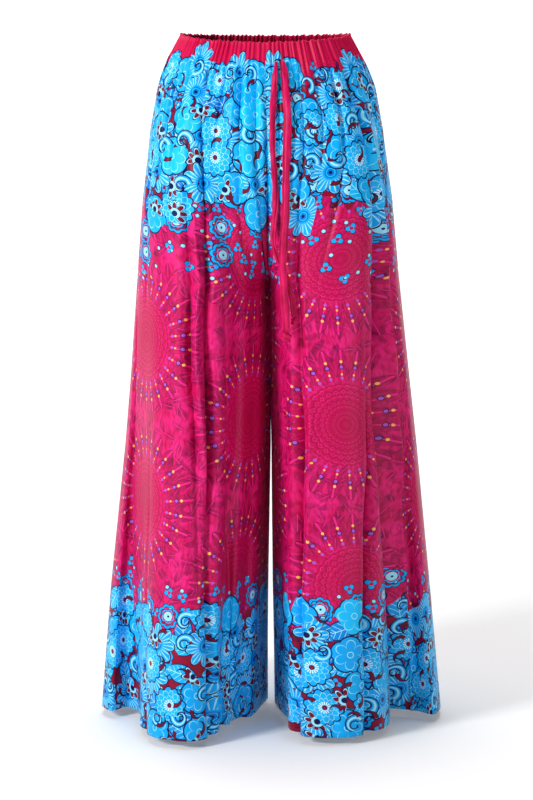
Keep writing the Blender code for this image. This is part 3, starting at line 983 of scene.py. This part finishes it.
def leaf(motif, coat, reach, present):
    """A broad plain leaf with a midrib and a few side veins."""
    share = motif.x / reach
    edge = (1 - share * share) * (reach * 0.50)
    across = abs(motif.y)
    inside = (across < edge) & present
    coat.lay(inside, coat.paint.mix(motif.size, DEEP, SKY))
    ribs = ((motif.x + across * 0.9) / 0.0085).fract() < 0.13
    veins = ((across < 0.0006) | (ribs & (across < edge - 0.0022))) & inside
    coat.lay(veins, PALE)
    coat.lay(line(across - edge, 0.0018) & present, NAVY)


def curl(motif, coat, reach, present):
    """A scroll: a stroke that winds in and thins out, azure with a pale line along it."""
    middle = abs(motif.radius - (motif.angle * 0.11 + 0.62) * reach)
    thick = (motif.angle + 2.6) * (reach * 0.075)
    stroke = present & (motif.angle > -2.6)
    coat.lay((middle < thick) & stroke, AZURE)
    coat.lay((middle < thick * 0.34) & stroke, PALE)
    coat.lay(line(middle - thick, 0.0017) & stroke, NAVY)


def palmette(motif, coat, reach, present):
    """A fan of drops: burgundy hearts with pale rims, spread over half a turn."""
    fan = petals(motif, 8, 0.70, inward=0.6)
    spread = present & (abs(motif.angle) < 1.95)
    edge = fan * reach
    coat.lay((motif.radius < edge) & spread, AZURE)
    coat.lay((motif.radius < edge - 0.0012) & (motif.radius > 0.004) & spread, PALE)
    heart = (motif.radius < edge - 0.0030) & (motif.radius > 0.0075) & (fan > 0.66)
    coat.lay(heart & spread, BURGUNDY)
    coat.lay((motif.radius < 0.0042) & present, NAVY)
    coat.lay(line(motif.radius - edge, 0.0016) & spread, NAVY)


def hooks(motif, coat, present):
    """A short hooked stroke of navy, thick at one end, with a burgundy seam."""
    thick = (motif.angle + 1.9) * 0.0013
    near = abs(motif.radius - 0.0095)
    stroke = (near < thick) & (motif.angle > -1.9) & (motif.angle < 1.1) & present
    coat.lay(stroke, NAVY)
    coat.lay((near < thick - 0.0013) & stroke, BURGUNDY)


def ring_rose(motif, coat, reach, present):
    """A small rose of wavy azure rings round a pale heart, with the ground between the rings."""
    wave = petals(motif, 9, 0.15, phase=0.4)
    edge = wave * reach
    inner = petals(motif, 5, 0.22, inward=0.7) * (reach * 0.62)
    outer_ring = (motif.radius < edge) & (motif.radius > edge * 0.76)
    middle_ring = (motif.radius < inner) & (motif.radius > inner * 0.80)
    coat.lay((outer_ring | middle_ring) & present, AZURE)
    drawn = line(motif.radius - edge, 0.0013) | line(motif.radius - edge * 0.76, 0.0010)
    coat.lay((drawn | line(motif.radius - inner, 0.0010)) & present, NAVY)
    coat.lay((motif.radius < reach * 0.36) & present, PALE)
    coat.lay((motif.radius < 0.0016) & present, NAVY)


def drops(motif, coat, present):
    """Three small drops of blue with a navy outline."""
    edge = petals(motif, 3, 0.78, inward=0.8) * 0.0082
    inside = (motif.radius < edge) & (motif.radius > 0.0026) & present
    coat.lay(inside, AZURE)
    coat.lay(line(motif.radius - edge, FINE_LINE) & present, NAVY)


# %% [markdown]
# ## The ground between the borders
#
# The middle of each leg is magenta, with large round ornaments in half-drop rows: every other
# column starts half a step lower. Each ornament is a plain dahlia, rings of small petals tone on
# tone, inside a wreath of long petals with beads of violet and gold.

# %% Draw the large round ornaments
ORNAMENT_WIDE = 0.212
ORNAMENT_TALL = 0.236
ORNAMENT_RISE = 0.060
DAHLIA = 0.062
DAHLIA_HEART = 0.050
PETAL_ROW = 0.0074
PETALS_ROUND = 28
LOBE_DEPTH = 0.62
TONGUES = 26
WREATHS = [(0.082, 0.026, PLUM), (0.068, 0.020, CRIMSON)]
BEADS = [
    (0.0830, 0.0034, NAVY), (0.0830, 0.0024, VIOLET), (0.0905, 0.0020, GOLD),
    (0.0670, 0.0022, VIOLET), (0.0725, 0.0015, GOLD),
]


def ornaments(paint, flat, coat):
    """Large dahlias in half-drop rows: rings of small petals, then a wreath of long ones."""
    u = paint.node("ShaderNodeSeparateXYZ", {}, {0: flat})
    v = u.other("Y")
    column = (u / ORNAMENT_WIDE).math("FLOOR")
    drop = (column * 0.5).fract()
    x = ((u / ORNAMENT_WIDE).fract() - 0.5) * ORNAMENT_WIDE
    y = ((v + ORNAMENT_RISE) / ORNAMENT_TALL + drop).fract() * ORNAMENT_TALL - ORNAMENT_TALL / 2
    radius = (x * x + y * y).math("SQRT")
    angle = paint.math("ARCTAN2", y, x)
    fray = paint.noise(flat, 190.0, 3.0) - 0.5
    grain = (fray * 3.0 + 0.5).math("MINIMUM", 1.0).math("MAXIMUM", 0.0)

    for wreath, long, tint in WREATHS:
        tongues = abs((angle * (TONGUES / 2) + wreath * 900).cos())
        edge = tongues * long + wreath
        inside = (radius < edge) & (radius > wreath - 0.006)
        coat.lay(inside * tongues * 0.9, paint.mix(grain * 0.6 + 0.1, MAGENTA, tint))
        coat.lay(line(radius - edge, 0.0016) * 0.8, PLUM)
        spine = (tongues > 0.985) & inside
        coat.lay(spine * 0.8, ROSE)
    lobes = angle * (PETALS_ROUND / 2)
    row = radius / PETAL_ROW - abs(lobes.cos()) * LOBE_DEPTH
    turn = (row.math("FLOOR") * 0.5).fract() * pi
    rows = (radius / PETAL_ROW - abs((lobes + turn).cos()) * LOBE_DEPTH).fract()
    petal = paint.mix(rows, CRIMSON, MAGENTA)
    petal = paint.mix(((rows < 0.16) | (rows > 0.94)) * 0.7, petal, ROSE)
    petal = paint.mix((DAHLIA_HEART - radius) * 7.0 + grain * 0.2, petal, CRIMSON)
    coat.lay((DAHLIA - radius) * 260.0, petal)
    bead = (angle * (TONGUES / (2 * pi))).fract() - 0.5
    along = bead * (2 * pi / TONGUES) * radius
    for ring, size, tint in BEADS:
        away = radius - ring
        coat.lay((along * along + away * away) < size * size, tint)


# %% [markdown]
# ## The printed cloth
#
# The layers go on one over another: the grounds first, then dots, sprigs and small roses, then leaves,
# then the large flowers, and curls, fans and hooks last. Each kind of motif has its own spacing, and
# most have their own reach, the distance from a motif's centre to its tips, all in metres of cloth.

# %% The printed material
UPPER_EDGE = -0.232
LOWER_EDGE = -0.812
BAND_EDGE = -0.018
SPRIGS_BELOW = 0.105
SPRIGS_ABOVE = 0.055
ROSE_REACH = 0.0185
LEAF_REACH = 0.0275
DAISY_REACH = 0.0310
ROSETTE_REACH = 0.0275
LINE_FLOWER_REACH = 0.0270
BROAD_FLOWER_REACH = 0.0280
CURL_REACH = 0.0130
FAN_REACH = 0.0185
SHORE = 0.020
TUCKED_IN = 0.004
FEATHERS = [(0.019, 31.3), (0.023, 43.9)]


def border(motif, inset=0.0, wander=0.034):
    """1 where a motif's centre is in the upper or the lower flower border."""
    drift = (motif.pick - 0.5) * wander
    upper = (motif.height > UPPER_EDGE + inset + drift) & (motif.height < BAND_EDGE + drift * 0.5)
    return upper | (motif.height < LOWER_EDGE - inset + drift)


def near_borders(motif, below, above):
    """1 where a motif's centre is in a border or just outside it on the magenta."""
    upper = (motif.height > UPPER_EDGE - below) & (motif.height < BAND_EDGE)
    return upper | (motif.height < LOWER_EDGE + above)


def printed_cloth():
    """Satin printed with two flower borders and large ornaments between them."""
    paint = Paint("printed_satin")
    flat = paint.node("ShaderNodeUVMap", {"uv_map": "Cloth"}, {})
    cloudy = paint.noise(flat, 26.0, 4.0)
    streaks = paint.noise(paint.vector("MULTIPLY", flat, (230.0, 90.0, 1.0)), 1.0, 3.0)
    height = paint.node("ShaderNodeSeparateXYZ", {}, {0: flat}, "Y")
    field = paint.mix((cloudy - 0.38) * 2.6, MAGENTA, ROSE)
    field = paint.mix((streaks - 0.44) * 3.0, field, CRIMSON)
    for spacing, shift in FEATHERS:
        feather = Motif(paint, flat, spacing, 0.9, shift)
        share = feather.x / (spacing * 0.62)
        edge = (1 - share * share) * (spacing * 0.24)
        inside = (abs(feather.y) < edge) & (feather.pick > 0.25)
        field = paint.mix(inside * (share * 0.30 + 0.34), field, PLUM)
        field = paint.mix(inside & line(feather.y, 0.0007) & (feather.pick > 0.5), field, ROSE)
    coat = Coat(paint, field)
    ornaments(paint, flat, coat)
    coat.lay(height > -0.045, paint.mix(streaks, BAND_DARK, BAND_LIGHT))
    coat.lay(height > 0.1, BAND_DARK)

    large = Motif(paint, flat, 0.060, 0.55, 0.0)
    wander = paint.noise(flat, 34.0, 1.0) * 0.07 - 0.035
    shore = height + wander
    ground = ((shore > UPPER_EDGE + SHORE) & (shore < -0.034)) | (shore < LOWER_EDGE - SHORE)
    coat.lay(ground, paint.mix(cloudy, BURGUNDY, CRIMSON))
    dots = Motif(paint, flat, 0.026, 0.85, 3.1)
    dotted = near_borders(dots, SPRIGS_BELOW, 0.05) & (dots.pick > 0.25)
    coat.lay((dots.radius < 0.0032) & dotted, NAVY)
    coat.lay((dots.radius < 0.0024) & dotted, PALE)

    sprig = Motif(paint, flat, 0.025, 0.75, 5.3)
    drops(sprig, coat, near_borders(sprig, SPRIGS_BELOW, SPRIGS_ABOVE) & (sprig.pick < 0.62))
    rose = Motif(paint, flat, 0.060, 0.65, 8.7)
    ring_rose(rose, coat, ROSE_REACH, near_borders(rose, 0.070, 0.052) & (rose.pick > 0.30))

    leaves = Motif(paint, flat, 0.036, 0.80, 12.9)
    leaf(leaves, coat, LEAF_REACH, border(leaves) & (leaves.pick > 0.30))
    second = Motif(paint, flat, 0.055, 0.70, 21.7)
    daisy(second, coat, DAISY_REACH, border(second, TUCKED_IN) & (second.size > 0.30))
    line_flower(second, coat, LINE_FLOWER_REACH, border(second, TUCKED_IN) & (second.size < 0.30))
    rosette(large, coat, ROSETTE_REACH, border(large) & (large.tone > 0.46))
    line_flower(large, coat, BROAD_FLOWER_REACH, border(large) & (large.tone < 0.16))
    scrolls = Motif(paint, flat, 0.036, 0.80, 17.3)
    curl(scrolls, coat, CURL_REACH, border(scrolls, TUCKED_IN) & (scrolls.pick > 0.76))
    palmette(scrolls, coat, FAN_REACH, border(scrolls, TUCKED_IN) & (scrolls.pick < 0.26))
    hook = Motif(paint, flat, 0.030, 0.9, 27.1)
    hooks(hook, coat, border(hook, TUCKED_IN) & (hook.pick > 0.45))

    paint.feed(paint.shader.inputs["Base Color"], coat.colour)
    finish(paint, flat, cloudy)
    return paint.material


def finish(paint, flat, cloudy):
    """The satin's sheen, and the bump of its weave."""
    paint.feed(paint.shader.inputs["Roughness"], cloudy * 0.14 + 0.36)
    paint.shader.inputs["Specular IOR Level"].default_value = 0.15
    paint.shader.inputs["Sheen Weight"].default_value = 0.02
    paint.shader.inputs["Sheen Roughness"].default_value = 0.4
    weave = paint.noise(paint.vector("MULTIPLY", flat, (1400.0, 420.0, 1.0)), 1.0, 2.0)
    bump = paint.node("ShaderNodeBump", {}, {"Strength": 0.10, "Distance": 0.0003, "Height": weave})
    paint.feed(paint.shader.inputs["Normal"], bump)


def plain_cloth():
    """The drawstring's plain magenta satin, streaked between painted shade and painted highlight."""
    paint = Paint("plain_satin")
    flat = paint.node("ShaderNodeUVMap", {"uv_map": "Cloth"}, {})
    cloudy = paint.noise(paint.vector("MULTIPLY", flat, (260.0, 40.0, 1.0)), 1.0, 3.0)
    # Painted shade and highlight: random lengthwise streaks between a dark and a light magenta.
    colour = paint.mix((cloudy - 0.25) * 2.0, STRING_PAINTED_SHADE, STRING_PAINTED_HIGHLIGHT)
    paint.feed(paint.shader.inputs["Base Color"], colour)
    finish(paint, flat, cloudy)
    return paint.material


def sewing_thread():
    """Blue polyester thread, a little uneven along its length."""
    paint = Paint("sewing_thread")
    place = paint.node("ShaderNodeTexCoord", {}, {}, "Object")
    uneven = paint.noise(place, 900.0)
    paint.feed(paint.shader.inputs["Base Color"], paint.mix(uneven, DEEP, SKY))
    paint.feed(paint.shader.inputs["Roughness"], uneven * 0.2 + 0.4)
    return paint.material


satin = printed_cloth()
plain = plain_cloth()
hem_stitches = sew_rows("hem_stitches", hem_rows, sewing_thread())
print(f"{len(satin.node_tree.nodes)} nodes draw the print")

# %% Every piece gets its cloth and its body, and the frame's part it stands for is hidden
for quarter, piece in panels.items():
    piece.data.materials.append(satin)
    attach(piece, "root")
    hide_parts("_panel_".join(quarter))
    width, length, area = flat_sizes[quarter]
casing.data.materials.append(satin)
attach(casing, "root")
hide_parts("waistband")
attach(hem_stitches, "root")
for name, (strip, knot, path, length, wide) in strips.items():
    for piece, node in ((strip, name), (knot, name.replace("drawstring", "knot"))):
        piece.data.materials.append(plain)
        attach(piece, "root")
        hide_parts(node)

# %% [markdown]
# ## Stage, lights and camera
#
# White paper lies under the trousers and curves up far behind them, so no edge shows. It glows, a
# painted light, faintly near the trousers and more further off. The key light comes from the left
# and lights the folds across. A weak fill low on the right opens the shadows at the hem, and a wide
# soft light overhead lays a soft shadow on the floor. The camera stands well back with a long lens,
# near the height of the waist, and looks a little down.

# %% Floor paper and lights
FLOOR_GAP = 0.012
scene.view_settings.view_transform = "Standard"


def glowing_floor_paper():
    """Matt white paper with a painted glow, faint near the trousers and brighter further off."""
    paint = Paint("glowing_floor_paper")
    place = paint.node("ShaderNodeTexCoord", {}, {}, "Object")
    away = paint.vector("LENGTH", place, output="Value") - FLOOR_DEPTH
    # Painted light: the glow is faint near the trousers, so their shadow shows, and rises with distance.
    glow = (away * GLOW_RISE + NEAR_GLOW).math("MINIMUM", FAR_GLOW)
    paint.shader.inputs["Base Color"].default_value = (0.90, 0.90, 0.90, 1)
    paint.shader.inputs["Roughness"].default_value = 0.9
    paint.shader.inputs["Emission Strength"].default_value = 1
    paint.feed(paint.shader.inputs["Emission Color"], paint.mix(glow, (0, 0, 0, 1), (1, 1, 1, 1)))
    return paint.material


def add_light(name, place, target, size, watts):
    """A square soft light that faces a point."""
    lamp = bpy.data.lights.new(name, "AREA")
    lamp.size = size
    lamp.energy = watts
    light = add_object(name, lamp)
    light.location = place
    light.rotation_euler = (Vector(target) - Vector(place)).to_track_quat("-Z", "Y").to_euler()


NEAR_GLOW = 0.12
GLOW_RISE = 0.30
FAR_GLOW = 0.84
FLOOR_DEPTH = FLOOR_GAP - HEM
BACK_CURVE = 9.0
CURVE_RADIUS = 2.0
BACK_TALL = 6.0
FLOOR_REACH = 14.0
turns = np.linspace(0, pi / 2, 17)
curve = [(BACK_CURVE + CURVE_RADIUS * np.sin(a), CURVE_RADIUS * (1 - np.cos(a))) for a in turns]
sweep = [(-FLOOR_REACH, 0.0), *curve, (BACK_CURVE + CURVE_RADIUS, BACK_TALL)]
sides = (-FLOOR_REACH, FLOOR_REACH)
sweep_points = np.array([[(x, y, z - FLOOR_DEPTH) for x in sides] for y, z in sweep])
floor = grid_mesh("floor", sweep_points, sweep_points[:, :, :2], True)
floor.data.materials.append(glowing_floor_paper())
world = bpy.data.worlds.new("studio")
scene.world = world
world.use_nodes = True
world.node_tree.nodes["Background"].inputs["Color"].default_value = (1, 1, 1, 1)
world.node_tree.nodes["Background"].inputs["Strength"].default_value = 0.17
middle = (0, 0, HEM / 2)
add_light("key", (-2.3, -1.9, 0.7), middle, 0.6, 79)
add_light("fill", (2.2, -2.5, -0.5), (0, 0, -0.8), 1.0, 12)
add_light("top", (0, 0.35, 2.4), (0, 0.10, HEM), 1.4, 62)

# %% Camera
VIEW_DISTANCE = 3.6
VIEW_ASIDE = 0.0014
VIEW_HEIGHT = 0.05
VIEW_TILT = 8.96
LENS = 110.88
camera = add_object("camera", bpy.data.cameras.new("camera"))
camera.data.lens = LENS
camera.data.sensor_width = 36
camera.location = (VIEW_ASIDE, -VIEW_DISTANCE, VIEW_HEIGHT)
camera.rotation_euler = (pi / 2 - radians(VIEW_TILT), 0, 0)
scene.camera = camera
